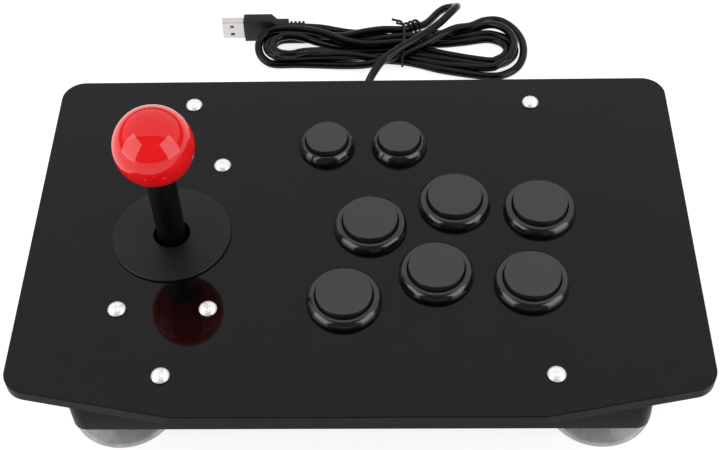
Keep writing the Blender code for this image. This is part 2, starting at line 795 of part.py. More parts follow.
def make_plug():
    """The USB plug: moulding with a necked end and ribs, hollow metal shell, and tongue."""
    aside = Matrix(((0, 0, 1, 0), (1, 0, 0, 0), (0, 1, 0, 0), (0, 0, 0, 1)))
    at = (0, PLUG_Y, PLUG_Z)
    body, neck, shell = MOULDING_SIZE, NECK_SIZE, SHELL_SIZE
    narrow = NECK_END - 6.5
    wide = narrow - 3.0

    def section(size, corner, x):
        return (rounded_rectangle(*size, corner, 2), x)

    moulding = [
        section(body, 1.0, MOULDING_END),
        section(body, 1.0, wide),
        section(neck, 1.0, narrow),
        section(neck, 1.0, NECK_END),
        section((4.4, 4.4), 1.5, NECK_END),
    ]
    pitch = (RIBS_END - NECK_END) / 4
    for i in range(4):
        start = NECK_END + i * pitch
        moulding += [
            section((4.4, 4.4), 1.5, start + 0.25 * pitch),
            section((6.0, 6.4), 2.0, start + 0.35 * pitch),
            section((6.0, 6.4), 2.0, start + 0.9 * pitch),
            section((4.4, 4.4), 1.5, start + pitch),
        ]
    add_object("usb_moulding", stack(moulding), "cord_pvc", at, aside)

    root = MOULDING_END - GAP
    wall = 0.35
    inside = (shell[0] - 2 * wall, shell[1] - 2 * wall)
    sheet = [
        section(shell, 0.5, root),
        section(shell, 0.5, SHELL_END),
        section(inside, 0.2, SHELL_END),
        section(inside, 0.2, root - 1.0),
    ]
    add_object("usb_shell", stack(sheet), "usb_steel", at, aside)
    tongue_size = (1.7, inside[1] - 0.8)
    tongue = block((SHELL_END * -1 + root - 1.0 - 1.3 - GAP, *tongue_size))
    middle = (root - 1.0 - GAP + SHELL_END + 1.3) / 2
    lift = inside[0] / 2 - tongue_size[0] / 2 - GAP
    add_object("usb_tongue", tongue, "white_pom", (middle, PLUG_Y + lift, PLUG_Z))


def main():
    for obj in list(bpy.data.objects):
        bpy.data.objects.remove(obj)
    make_panel()
    make_case()
    make_screws()
    make_cups()
    for name, (size, x, y) in BUTTONS.items():
        make_button(name, size, x, y)
    make_lever_mount()
    make_lever()
    make_dust_washers()
    make_encoder_board()
    make_grommet()
    make_cord()
    make_tie()
    make_plug()


main()
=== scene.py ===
import json
import math

import bmesh
import bpy
from mathutils import Matrix, Vector
from mathutils.geometry import tessellate_polygon

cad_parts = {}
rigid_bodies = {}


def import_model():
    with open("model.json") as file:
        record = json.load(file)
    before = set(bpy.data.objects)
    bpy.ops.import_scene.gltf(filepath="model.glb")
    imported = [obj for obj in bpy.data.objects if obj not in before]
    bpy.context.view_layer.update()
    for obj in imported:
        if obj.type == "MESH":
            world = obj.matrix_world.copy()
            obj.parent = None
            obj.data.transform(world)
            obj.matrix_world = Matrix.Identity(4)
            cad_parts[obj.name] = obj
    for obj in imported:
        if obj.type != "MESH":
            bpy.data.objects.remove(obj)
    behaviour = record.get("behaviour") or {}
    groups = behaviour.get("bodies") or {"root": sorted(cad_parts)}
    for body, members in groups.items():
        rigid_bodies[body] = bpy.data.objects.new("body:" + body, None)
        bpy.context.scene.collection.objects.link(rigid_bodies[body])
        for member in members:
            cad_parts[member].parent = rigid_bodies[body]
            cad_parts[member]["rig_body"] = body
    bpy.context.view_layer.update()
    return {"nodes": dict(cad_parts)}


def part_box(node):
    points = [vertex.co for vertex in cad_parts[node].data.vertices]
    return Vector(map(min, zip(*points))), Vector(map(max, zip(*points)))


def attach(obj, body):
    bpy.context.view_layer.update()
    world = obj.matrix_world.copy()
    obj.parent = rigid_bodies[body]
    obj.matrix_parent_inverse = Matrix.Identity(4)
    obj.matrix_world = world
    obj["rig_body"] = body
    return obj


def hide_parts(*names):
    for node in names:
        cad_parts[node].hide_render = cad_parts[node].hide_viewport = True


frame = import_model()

# Every length below is in millimetres unless it says otherwise
MM = 0.001

PANEL_WIDTH = 300.0
PANEL_DEPTH = 196.0
PANEL_TOP = 50.0
PANEL_UNDER = 44.0
FRONT_EDGE_HALF = 77.7  # from the middle of the panel's front edge to where it slants back
FRONT_SLANT = 14.2  # how far back the slant reaches
PANEL_CORNER = 11.0  # radius of the panel's corners
PANEL_KNEE = 30.0  # radius where the slant begins
GAP = 0.3  # between pieces that rest on each other
HEAD_HEIGHT = 2.2  # of a screw's dome
STICK_HOLE_R = 12.0
SCREW_HOLE_R = 2.35
BALL_R = 17.5
SLEEVE_R = 6.5
SHAFT_BORE_R = 4.3  # bore of the ball and the sleeve, round the shaft
CORD_R = 2.2
EXIT = (0.0, 97.7, 27.0)  # where the lead leaves its strain relief
LARGE_BUTTON = (12.4, 15.0, 16.75)  # plunger, hole and rim radii
SMALL_BUTTON = (9.9, 12.0, 13.4)
BUTTON_FLOOR = -17.0  # from the panel's top to the floor of a button's bore
PLUNGER_HEIGHT = 7.0  # from the panel's top to the top of a plunger
BUTTONS = (
    "upper_left",
    "upper_middle",
    "upper_right",
    "lower_left",
    "lower_middle",
    "lower_right",
    "start",
    "select",
)
SMALL = ("start", "select")
CORNERS = ("front_left", "front_right", "back_left", "back_right")


# ---------------------------------------------------------------- camera, light, floor


def make_camera():
    """The view from above the front edge."""
    data = bpy.data.cameras.new("camera")
    data.lens = 66.515
    data.sensor_width = 36.0
    data.clip_start = 0.01
    camera = bpy.data.objects.new("camera", data)
    camera.location = (0.015635, -0.382424, 0.520042)
    camera.rotation_euler = [math.radians(a) for a in (39.4155, 1.3757, 0.6425)]
    bpy.context.scene.collection.objects.link(camera)
    bpy.context.scene.camera = camera


def make_light(name, at, aim, size, power):
    """A rectangular soft box that faces the point aim; its place is in metres."""
    data = bpy.data.lights.new(name, "AREA")
    data.shape = "RECTANGLE"
    data.size, data.size_y = size
    data.energy = power
    light = bpy.data.objects.new(name, data)
    light.location = at
    light.rotation_euler = (Vector(aim) - Vector(at)).to_track_quat("-Z", "Y").to_euler()
    bpy.context.scene.collection.objects.link(light)


def make_studio():
    """A dim surround, a ceiling of light that reaches far back and two soft boxes in front."""
    world = bpy.data.worlds.new("studio")
    world.use_nodes = True
    background = world.node_tree.nodes["Background"]
    background.inputs["Color"].default_value = (1.0, 1.0, 1.0, 1.0)
    background.inputs["Strength"].default_value = 0.16
    bpy.context.scene.world = world
    bpy.context.scene.view_settings.view_transform = "Standard"
    middle = (0.0, 0.0, 0.05)
    make_light("soft_box_left", (-0.9, -0.47, 0.5), middle, (0.85, 1.1), 8.0)
    make_light("soft_box_right", (0.9, -0.47, 0.5), middle, (0.85, 1.1), 8.0)
    make_light("ceiling", (0.0, 2.72, 1.15), (0.0, 2.72, 0.0), (9.0, 6.0), 143.0)


def make_floor():
    """A plain pale floor, in metres, that gives off a little light of its own."""
    mesh = bpy.data.meshes.new("floor")
    half = 8.0
    corners = [(-half, -half, 0), (half, -half, 0), (half, half, 0), (-half, half, 0)]
    mesh.from_pydata(corners, [], [(0, 1, 2, 3)])
    floor = bpy.data.objects.new("floor", mesh)
    bpy.context.scene.collection.objects.link(floor)
    material = bpy.data.materials.new("pale_floor")
    material.use_nodes = True
    shader = material.node_tree.nodes["Principled BSDF"]
    shader.inputs["Base Color"].default_value = (0.35, 0.35, 0.35, 1.0)
    shader.inputs["Emission Color"].default_value = (1.0, 1.0, 1.0, 1.0)
    shader.inputs["Emission Strength"].default_value = 0.8
    shader.inputs["Roughness"].default_value = 0.9
    shader.inputs["Specular IOR Level"].default_value = 0.1
    mesh.materials.append(material)


# ---------------------------------------------------------------- materials


def surface(name, dark, light, grain, roughness, bump, **settings):
    """A Principled material with a fine grain.

    dark and light are the two ends of its mottled colour, grain the size of the mottling
    in mm, roughness its lowest and highest value, and bump the grain's depth in mm.
    settings go straight to the shader's own sockets.
    """
    material = bpy.data.materials.new(name)
    material.use_nodes = True
    nodes, links = material.node_tree.nodes, material.node_tree.links
    shader = nodes["Principled BSDF"]
    place = nodes.new("ShaderNodeTexCoord")
    noise = nodes.new("ShaderNodeTexNoise")
    noise.inputs["Scale"].default_value = 1.0 / (grain * MM)
    noise.inputs["Detail"].default_value = 5.0
    noise.inputs["Roughness"].default_value = 0.6
    links.new(place.outputs["Object"], noise.inputs["Vector"])
    colour = nodes.new("ShaderNodeValToRGB")
    colour.color_ramp.elements[0].position = 0.35
    colour.color_ramp.elements[1].position = 0.65
    colour.color_ramp.elements[0].color = (*dark, 1.0)
    colour.color_ramp.elements[1].color = (*light, 1.0)
    links.new(noise.outputs["Fac"], colour.inputs["Fac"])
    links.new(colour.outputs["Color"], shader.inputs["Base Color"])
    spread = nodes.new("ShaderNodeMapRange")
    spread.inputs["From Min"].default_value = 0.3
    spread.inputs["From Max"].default_value = 0.7
    spread.inputs["To Min"].default_value = roughness[0]
    spread.inputs["To Max"].default_value = roughness[1]
    links.new(noise.outputs["Fac"], spread.inputs["Value"])
    links.new(spread.outputs["Result"], shader.inputs["Roughness"])
    relief = nodes.new("ShaderNodeBump")
    relief.inputs["Strength"].default_value = 1.0
    relief.inputs["Distance"].default_value = bump * MM
    links.new(noise.outputs["Fac"], relief.inputs["Height"])
    links.new(relief.outputs["Normal"], shader.inputs["Normal"])
    for socket, value in settings.items():
        shader.inputs[socket.replace("_", " ")].default_value = value
    return material


def grey(value):
    """A neutral colour."""
    return (value, value, value)


def acrylic_face():
    """Polished black acrylic."""
    return surface(
        "acrylic_face",
        grey(0.0016),
        grey(0.0024),
        grain=14.0,
        roughness=(0.02, 0.045),
        bump=0.002,
        Specular_IOR_Level=0.23,
    )


def acrylic_edge():
    """The panel's sawn and scraped edge, duller than its face."""
    return surface(
        "acrylic_edge",
        grey(0.0015),
        grey(0.003),
        grain=1.2,
        roughness=(0.32, 0.5),
        bump=0.03,
        Specular_IOR_Level=0.09,
    )


def black_abs():
    """Satin moulded plastic with a fine spark texture."""
    return surface(
        "black_abs",
        grey(0.0015),
        grey(0.003),
        grain=0.5,
        roughness=(0.3, 0.42),
        bump=0.02,
        Specular_IOR_Level=0.06,
    )


def rim_gloss():
    """Glossy moulded plastic of the buttons' rims."""
    return surface(
        "rim_gloss",
        grey(0.0035),
        grey(0.005),
        grain=5.0,
        roughness=(0.13, 0.18),
        bump=0.003,
        Specular_IOR_Level=0.68,
    )


def cap_satin():
    """Satin plastic of the plungers, lighter than the rims."""
    return surface(
        "cap_satin",
        grey(0.004),
        grey(0.006),
        grain=0.6,
        roughness=(0.42, 0.5),
        bump=0.006,
        Specular_IOR_Level=0.77,
    )


def washer_matt():
    """Matt polypropylene of the dust washers."""
    return surface(
        "washer_matt",
        grey(0.005),
        grey(0.007),
        grain=0.8,
        roughness=(0.36, 0.46),
        bump=0.008,
        Specular_IOR_Level=0.27,
    )


def sleeve_black():
    """Smooth tube over the lever's shaft."""
    return surface(
        "sleeve_black",
        grey(0.001),
        grey(0.002),
        grain=1.0,
        roughness=(0.3, 0.4),
        bump=0.006,
        Specular_IOR_Level=0.25,
    )


def ball_red():
    """Polished red plastic."""
    return surface(
        "ball_red",
        (0.70, 0.006, 0.008),
        (0.75, 0.008, 0.010),
        grain=9.0,
        roughness=(0.04, 0.07),
        bump=0.003,
        Specular_IOR_Level=0.45,
    )


def nickel():
    """Bright nickel plate on the screws."""
    return surface(
        "nickel",
        grey(0.90),
        grey(0.97),
        grain=0.7,
        roughness=(0.2, 0.3),
        bump=0.006,
        Metallic=0.4,
    )


def zinc_steel():
    """Zinc plated steel inside."""
    return surface(
        "zinc_steel",
        grey(0.48),
        grey(0.66),
        grain=1.5,
        roughness=(0.28, 0.45),
        bump=0.01,
        Metallic=1.0,
    )


def usb_steel():
    """The plug's pressed steel shell."""
    return surface(
        "usb_steel",
        (0.62, 0.58, 0.58),
        (0.72, 0.68, 0.67),
        grain=0.8,
        roughness=(0.3, 0.42),
        bump=0.008,
        Metallic=0.75,
    )


def cord_pvc():
    """Soft black PVC of the lead."""
    return surface(
        "cord_pvc",
        grey(0.001),
        grey(0.002),
        grain=0.7,
        roughness=(0.12, 0.2),
        bump=0.012,
        Specular_IOR_Level=0.22,
    )


def plug_pvc():
    """Matt black PVC moulding of the plug, the strain relief and the tie."""
    return surface(
        "plug_pvc",
        grey(0.004),
        grey(0.008),
        grain=0.5,
        roughness=(0.42, 0.55),
        bump=0.02,
        Specular_IOR_Level=0.3,
    )


def cup_pvc():
    """Cloudy clear PVC of the suction cups."""
    return surface(
        "cup_pvc",
        grey(0.29),
        grey(0.37),
        grain=4.0,
        roughness=(0.16, 0.26),
        bump=0.01,
        Transmission_Weight=0.35,
        IOR=1.45,
    )


def white_pom():
    """White sliding plastic."""
    return surface(
        "white_pom",
        grey(0.66),
        grey(0.76),
        grain=1.5,
        roughness=(0.3, 0.42),
        bump=0.008,
    )


def switch_plastic():
    """Dark grey switch bodies."""
    return surface(
        "switch_plastic",
        grey(0.02),
        grey(0.03),
        grain=0.6,
        roughness=(0.42, 0.55),
        bump=0.02,
    )


def board_green():
    """Solder mask over glass fibre."""
    return surface(
        "board_green",
        (0.006, 0.07, 0.022),
        (0.012, 0.11, 0.035),
        grain=1.1,
        roughness=(0.22, 0.4),
        bump=0.02,
    )


MAKERS = {
    "face": acrylic_face,
    "edge": acrylic_edge,
    "abs": black_abs,
    "rim": rim_gloss,
    "cap": cap_satin,
    "washer": washer_matt,
    "sleeve": sleeve_black,
    "ball": ball_red,
    "nickel": nickel,
    "zinc": zinc_steel,
    "usb": usb_steel,
    "cord": cord_pvc,
    "plug": plug_pvc,
    "cup": cup_pvc,
    "pom": white_pom,
    "switch": switch_plastic,
    "board": board_green,
}
LOOK = {name: make() for name, make in MAKERS.items()}


# ---------------------------------------------------------------- mesh helpers


def rounded(corners, radii, steps):
    """A polygon, anticlockwise, with each corner turned to an arc of its own radius."""
    outline = []
    for i, corner in enumerate(corners):
        here = Vector(corner)
        back = (Vector(corners[i - 1]) - here).normalized()
        ahead = (Vector(corners[(i + 1) % len(corners)]) - here).normalized()
        half = back.angle(ahead) / 2
        centre = here + (back + ahead).normalized() * radii[i] / math.sin(half)
        first = here + back * radii[i] / math.tan(half) - centre
        turn = math.pi - 2 * half
        for step in range(steps + 1):
            spoke = Matrix.Rotation(turn * step / steps, 2) @ first
            outline.append(tuple(centre + spoke))
    return outline


def ring_of(radius, count, x=0.0, y=0.0):
    """Points round a circle."""
    turns = [2 * math.pi * i / count for i in range(count)]
    return [(x + radius * math.cos(a), y + radius * math.sin(a)) for a in turns]


def eased(profile, steps=4):
    """Rounds each profile corner that has a third number, by that distance."""
    out = []
    for i, corner in enumerate(profile):
        here = Vector(corner[:2])
        if len(corner) < 3:
            out.append(tuple(here))
            continue
        before = Vector(profile[i - 1][:2])
        after = Vector(profile[(i + 1) % len(profile)][:2])
        start = here + (before - here).normalized() * corner[2]
        end = here + (after - here).normalized() * corner[2]
        for k in range(steps + 1):
            t = k / steps
            out.append(tuple(start * (1 - t) ** 2 + here * 2 * t * (1 - t) + end * t * t))
    return out


def finished(name, mesh, sharp=35):
    """An object of a bmesh in mm, smooth but for its edges sharper than sharp degrees."""
    bmesh.ops.recalc_face_normals(mesh, faces=mesh.faces)
    bmesh.ops.scale(mesh, vec=(MM, MM, MM), verts=mesh.verts)
    data = bpy.data.meshes.new(name)
    mesh.to_mesh(data)
    mesh.free()
    data.shade_smooth()
    data.set_sharp_from_angle(angle=math.radians(sharp))
    obj = bpy.data.objects.new(name, data)
    bpy.context.scene.collection.objects.link(obj)
    return obj


def lathe(profile, segments=96):
    """A closed solid turned about Z from (radius, height) pairs in order round its section."""
    mesh = bmesh.new()
    rings = []
    for radius, height in profile:
        if radius == 0:
            rings.append([mesh.verts.new((0, 0, height))])
        else:
            ring = ring_of(radius, segments)
            rings.append([mesh.verts.new((x, y, height)) for x, y in ring])
    pairs = list(zip(rings, rings[1:]))
    if len(rings[0]) > 1:
        pairs.append((rings[-1], rings[0]))
    for a, b in pairs:
        for i in range(segments):
            j = (i + 1) % segments
            corners = [a[i % len(a)], a[j % len(a)], b[j % len(b)], b[i % len(b)]]
            corners = list(dict.fromkeys(corners))
            if len(corners) > 2:
                mesh.faces.new(corners)
    return mesh


def plate(levels, holes=()):
    """Stacked outlines with the same number of points, capped, with round holes through."""
    mesh = bmesh.new()
    rings = [[mesh.verts.new((x, y, z)) for x, y in outline] for outline, z in levels]
    for a, b in zip(rings, rings[1:]):
        for i in range(len(a)):
            mesh.faces.new((a[i - 1], a[i], b[i], b[i - 1]))
    low, high = levels[0][1], levels[-1][1]
    under = [[mesh.verts.new((x, y, low)) for x, y in hole] for hole in holes]
    over = [[mesh.verts.new((x, y, high)) for x, y in hole] for hole in holes]
    for a, b in zip(under, over):
        for i in range(len(a)):
            mesh.faces.new((a[i - 1], a[i], b[i], b[i - 1]))
    for ring, inner in ((rings[0], under), (rings[-1], over)):
        loops = [[Vector((v.co.x, v.co.y, 0)) for v in loop] for loop in (ring, *inner)]
        verts = [v for loop in (ring, *inner) for v in loop]
        for triangle in tessellate_polygon(loops):
            mesh.faces.new([verts[i] for i in triangle])
    return mesh


def moved(mesh, at, spin=None):
    """The bmesh turned, then moved to a point in mm."""
    matrix = Matrix.Translation(at) @ (spin or Matrix.Identity(4))
    bmesh.ops.transform(mesh, matrix=matrix, verts=mesh.verts)
    return mesh


def smooth(points, spacing=2.0):
    """Points along a Catmull-Rom curve through points, about spacing apart."""
    knots = [Vector(p) for p in points]
    ends = [2 * knots[0] - knots[1], *knots, 2 * knots[-1] - knots[-2]]
    out = []
    for a, b, c, d in zip(ends, ends[1:], ends[2:], ends[3:]):
        count = max(1, round((c - b).length / spacing))
        for step in range(count):
            t = step / count
            bend = (3 * b - a - 3 * c + d) * t + (2 * a - 5 * b + 4 * c - d)
            out.append(bend * t * t / 2 + (c - a) * t / 2 + b)
    return [*out, knots[-1]]


def add_spline(curve, points):
    """One open spline along points in mm."""
    spline = curve.splines.new("POLY")
    spline.points.add(len(points) - 1)
    for point, place in zip(spline.points, points):
        point.co = (*(Vector(place) * MM), 1)
    spline.use_smooth = True


def tube(name, points, radius, sides=6):
    """A round cord on one open spline, with closed ends."""
    curve = bpy.data.curves.new(name, "CURVE")
    curve.dimensions = "3D"
    curve.bevel_depth = radius * MM
    curve.bevel_resolution = sides
    curve.use_fill_caps = True
    add_spline(curve, points)
    obj = bpy.data.objects.new(name, curve)
    bpy.context.scene.collection.objects.link(obj)
    return obj


def dress(obj, look, slot, body, *nodes):
    """Gives a piece its material and the body it rides on, and hides the nodes it replaces; slot
    is not used.
    """
    obj.data.materials.append(LOOK[look])
    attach(obj, body)
    if nodes:
        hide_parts(*nodes)
    return obj


def foot_of(node):
    """The middle of a CAD node's lowest level, in mm."""
    low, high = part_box(node)
    return Vector(((low.x + high.x) / 2, (low.y + high.y) / 2, low.z)) / MM


def body_of(node):
    """The body that a CAD node rides on."""
    return frame["nodes"][node]["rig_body"]


# ---------------------------------------------------------------- lead, hank, tie and plug

# From the wall down across the hank, through the loop behind it and back to the tie
LEAD = [
    EXIT,
    (0.0, 102.5, 27.0),
    (0.1, 110.5, 23.9),
    (0.4, 120.0, 17.9),
    (1.2, 130.0, 12.9),
    (4.0, 141.5, 10.9),
    (9.6, 151.8, 11.8),
    (17.8, 159.6, 12.7),
    (27.3, 167.2, 12.8),
    (36.0, 175.2, 12.6),
    (42.8, 182.2, 12.8),
    (48.0, 188.8, 13.2),
    (51.4, 194.8, 11.8),
    (52.6, 200.4, 8.2),
    (50.4, 204.4, 4.2),
    (45.8, 205.2, 2.4),
    (41.6, 201.6, 2.3),
    (37.8, 196.2, 2.3),
    (33.6, 191.0, 2.9),
    (28.4, 188.2, 3.8),
]
# The hank's runs in the order they are wound, each listed from its right end to its left end
FIRST_BACK = [
    (22.0, 184.2, 5.4),
    (10.0, 182.6, 7.0),
    (-1.0, 180.4, 7.2),
    (-12.0, 178.0, 6.6),
    (-25.0, 178.6, 6.6),
    (-38.0, 179.4, 6.6),
]
FIRST_FRONT = [
    (68.0, 149.0, 2.2),
    (44.0, 154.0, 2.2),
    (32.0, 158.2, 2.2),
    (22.0, 161.2, 2.2),
    (10.0, 162.2, 2.9),
    (0.0, 162.8, 4.6),
    (-12.0, 162.6, 6.5),
    (-25.0, 162.2, 6.6),
    (-38.0, 161.8, 6.6),
]
# The widest fold on the right, from the first front run round to the crossing one
OUTER_BEND = [
    (78.0, 150.6, 2.2),
    (85.4, 157.0, 2.2),
    (88.8, 167.0, 2.2),
    (88.4, 178.0, 2.2),
    (84.0, 188.0, 2.2),
    (76.6, 194.6, 2.2),
    (68.0, 193.6, 3.0),
]
CROSSING = [
    (60.0, 187.8, 4.4),
    (52.0, 183.2, 7.2),
    (44.0, 177.2, 8.6),
    (34.0, 170.0, 8.4),
    (22.0, 163.6, 7.0),
    (10.0, 158.9, 5.2),
    (0.0, 157.9, 3.4),
    (-12.0, 158.6, 2.3),
    (-25.0, 159.4, 2.2),
    (-38.0, 160.0, 2.2),
]
SECOND_FRONT = [
    (68.0, 161.3, 2.2),
    (44.0, 167.2, 2.2),
    (32.0, 171.0, 3.4),
    (22.0, 172.5, 6.4),
    (10.0, 171.2, 6.8),
    (0.0, 170.8, 6.9),
    (-12.0, 172.6, 8.2),
    (-25.0, 176.8, 10.6),
    (-38.0, 179.4, 11.0),
]
SECOND_BACK = [
    (68.0, 178.9, 2.2),
    (56.0, 176.8, 2.2),
    (44.0, 175.4, 2.2),
    (32.0, 175.6, 2.2),
    (22.0, 174.9, 2.2),
    (5.0, 174.6, 2.2),
    (-12.0, 173.6, 2.4),
    (-24.0, 172.6, 6.0),
    (-34.0, 172.6, 10.2),
    (-40.0, 173.6, 11.0),
]
THIRD_FRONT = [
    (68.0, 156.9, 2.2),
    (44.0, 162.8, 2.2),
    (32.0, 166.8, 2.2),
    (22.0, 170.4, 2.2),
    (5.0, 170.2, 2.2),
    (-12.0, 169.0, 2.6),
    (-24.0, 166.0, 6.6),
    (-34.0, 161.4, 10.4),
    (-40.0, 159.0, 11.0),
]
THIRD_BACK = [
    (68.0, 183.3, 2.2),
    (56.0, 181.2, 2.2),
    (44.0, 179.8, 2.2),
    (32.0, 179.8, 3.6),
    (22.0, 177.4, 6.4),
    (10.0, 177.8, 4.8),
    (0.0, 178.6, 3.0),
    (-12.0, 179.4, 2.2),
    (-25.0, 180.0, 2.2),
    (-38.0, 180.2, 2.2),
]
LAST_FRONT = [
    (68.0, 153.0, 4.7),
    (44.0, 158.4, 2.3),
    (32.0, 162.5, 2.2),
    (22.0, 165.8, 2.2),
    (5.0, 165.8, 2.2),
    (-12.0, 164.6, 2.2),
    (-25.0, 164.2, 2.2),
    (-38.0, 164.2, 2.2),
]
LAST_BACK = [
    (68.0, 187.8, 4.6),
    (56.0, 185.4, 2.2),
    (44.0, 184.0, 2.2),
    (32.0, 183.8, 2.2),
    (22.0, 179.4, 2.2),
    (12.0, 181.6, 2.2),
    (2.0, 184.2, 2.2),
]
# The end of the last run, rising to the plug
TAIL = [
    (-8.0, 185.2, 2.3),
    (-16.0, 185.4, 3.8),
    (-25.0, 185.0, 6.4),
    (-34.6, 184.6, 7.7),
]


def fold(start, end, foot, tip, lift=0.0, count=5):
    """Half an oval from start to end, from x = foot out to x = tip, raised by lift midway.

    Where the foot stands apart from the run's end, the oval's two ends are points as well.
    """
    a = Vector((foot, *start[1:]))
    b = Vector((foot, *end[1:]))
    out = Vector((tip - foot, 0, 0))
    points = []
    for i in range(1, count + 1):
        turn = math.pi * i / (count + 1)
        side = (a - b) / 2 * math.cos(turn)
        rise = Vector((0, 0, lift)) * math.sqrt(math.sin(turn))
        points.append((a + b) / 2 + side + out * math.sin(turn) + rise)
    apart = 3.0
    if abs(start[0] - foot) > apart:
        points = [a, *points, b]
    return points


def left_fold(back, front, tip):
    """A round fold at the hank's left end, between two runs."""
    half = (Vector(front[-1][1:]) - Vector(back[-1][1:])).length / 2
    return fold(back[-1], front[-1], tip + half, tip)


def cord_route():
    """The whole lead: over the hank and back, four turns, and out to the plug."""
    right = FIRST_FRONT[0][0]
    return [
        *LEAD,
        *FIRST_BACK,
        *left_fold(FIRST_BACK, FIRST_FRONT, -55.5),
        *reversed(FIRST_FRONT),
        *OUTER_BEND,
        *CROSSING,
        *left_fold(CROSSING, SECOND_FRONT, -60.0),
        *reversed(SECOND_FRONT),
        *fold(SECOND_FRONT[0], SECOND_BACK[0], right, 79.7),
        *SECOND_BACK,
        *fold(SECOND_BACK[-1], THIRD_FRONT[-1], -43.5, -51.5),
        *reversed(THIRD_FRONT),
        *fold(THIRD_FRONT[0], THIRD_BACK[0], right, 84.1, count=7),
        *THIRD_BACK,
        *left_fold(THIRD_BACK, LAST_FRONT, -53.0),
        *reversed(LAST_FRONT),
        *fold(LAST_FRONT[0], LAST_BACK[0], right, 83.4, lift=2.4, count=7),
        *LAST_BACK,
        *TAIL,
    ]


def make_grommet():
    """The tapered strain relief in the back wall, with a flange outside and a head inside."""
    back, outside, inside, front = 97.4, 85.9, 82.3, 80.7  # its end, the wall's faces, its head
    profile = eased(
        [
            (0, back),
            (3.3, back, 0.5),
            (4.4, outside + 1.8),
            (6.6, outside + 1.8, 0.6),
            (6.6, outside),
            (4.6, outside),
            (4.6, inside),
            (6.4, inside),
            (6.4, front, 0.3),
            (0, front),
        ]
    )
    along = Matrix.Rotation(math.radians(-90), 4, "X")
    mesh = moved(lathe(profile, 48), (EXIT[0], 0, EXIT[2]), along)
    return dress(finished("lead_grommet", mesh), "plug", "cord", "case", "cable_grommet")


def twist(start, end, radius, turns, count=14):
    """Points of a helix about the line from start to end."""
    start, end = Vector(start), Vector(end)
    along = (end - start).normalized()
    side = along.cross(Vector((0, 0, 1))).normalized()
    points = []
    for i in range(int(turns * count) + 1):
        share = i / (turns * count)
        spoke = Matrix.Rotation(2 * math.pi * i / count, 3, along) @ side
        points.append(start.lerp(end, share) + spoke * radius)
    return points


def make_tie():
    """A twist tie over the hank, wound round the returning lead, with its ends to the left."""
    x = 22.0
    over = [
        (x, 187.4, 1.0),
        (x, 187.5, 4.6),
        (x, 185.8, 8.2),
        (x, 180.5, 9.3),
        (x, 174.0, 9.4),
        (x - 0.2, 167.5, 9.9),
        (x - 0.5, 162.4, 9.8),
        (x - 1.0, 159.2, 7.6),
        (x - 1.2, 158.0, 4.0),
        (x - 1.2, 158.2, 1.6),
        (x - 1.2, 159.2, 0.8),
    ]
    wound = twist((31.0, 191.0, 3.4), (22.5, 184.8, 5.3), radius=3.0, turns=3.4)
    end_long = [wound[-1], (20.5, 187.6, 8.0), (18.0, 188.2, 8.6), (15.0, 188.6, 9.4)]
    end_short = [(22.0, 185.8, 8.2), (20.0, 186.6, 7.6), (17.6, 187.6, 7.4)]
    tie = tube("lead_tie", smooth(over, 1.0), 0.7, sides=3)
    for points in (wound, smooth(end_long, 1.0), smooth(end_short, 1.0)):
        add_spline(tie.data, points)
    return dress(tie, "plug", "cord", "case", "twist_tie")


def cut(obj, *cutters):
    """Takes the cutters out of obj and removes them."""
    for cutter in cutters:
        modifier = obj.modifiers.new("cut", "BOOLEAN")
        modifier.solver = "EXACT"
        modifier.object = cutter
    evaluated = obj.evaluated_get(bpy.context.evaluated_depsgraph_get())
    data = bpy.data.meshes.new_from_object(evaluated)
    obj.modifiers.clear()
    obj.data = data
    for cutter in cutters:
        bpy.data.objects.remove(cutter)


def block(size, at):
    """A box of the given size about the point at, for cutting."""
    mesh = bmesh.new()
    bmesh.ops.create_cube(mesh, size=1.0)
    bmesh.ops.scale(mesh, vec=size, verts=mesh.verts)
    return finished("cutter", moved(mesh, at))


def softened(name, node, width, segments=2):
    """A copy of a CAD node's shape whose sharp edges are rounded by width."""
    sharp = 30
    mesh = bmesh.new()
    mesh.from_mesh(frame["nodes"][node].data)
    bmesh.ops.scale(mesh, vec=(1 / MM, 1 / MM, 1 / MM), verts=mesh.verts)
    bmesh.ops.remove_doubles(mesh, verts=mesh.verts, dist=0.002)
    flat = math.radians(1)
    bmesh.ops.dissolve_limit(mesh, angle_limit=flat, verts=mesh.verts, edges=mesh.edges)
    limit = math.radians(sharp)
    edges = [e for e in mesh.edges if len(e.link_faces) == 2 and e.calc_face_angle() > limit]
    bmesh.ops.bevel(
        mesh,
        geom=edges,
        offset=width,
        segments=segments,
        profile=0.5,
        affect="EDGES",
        clamp_overlap=True,
    )
    return finished(name, mesh, sharp)


def make_plug():
    """The plug's moulding, and its shell with two latch windows in each broad side."""
    moulding = softened("plug_moulding", "usb_moulding", 0.25)
    dress(moulding, "plug", "cord", "case", "usb_moulding")
    shell = softened("plug_shell", "usb_shell", 0.08)
    low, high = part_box("usb_shell")
    middle = (low + high) / 2 / MM
    window_size, window_pitch, window_shift = (2.3, 12.0, 2.0), 5.5, -0.6
    windows = []
    for side in (-1, 1):
        at = (middle.x + window_shift, middle.y, middle.z + side * window_pitch / 2)
        windows.append(block(window_size, at))
    cut(shell, *windows)
    shell.data.shade_flat()
    dress(shell, "usb", "usb_metal", "case", "usb_shell")
    return moulding, shell


# ---------------------------------------------------------------- panel and case


def panel_outline(inset):
    """The panel seen from above: its front edge slants back on both sides."""
    w, d = PANEL_WIDTH / 2 - inset, PANEL_DEPTH / 2 - inset
    shoulder = -PANEL_DEPTH / 2 + FRONT_SLANT + inset
    front = FRONT_EDGE_HALF
    corners = [(-front, -d), (front, -d), (w, shoulder), (w, d), (-w, d), (-w, shoulder)]
    radii = [PANEL_KNEE - inset] * 2 + [PANEL_CORNER - inset] * 4
    return rounded(corners, radii, 14)


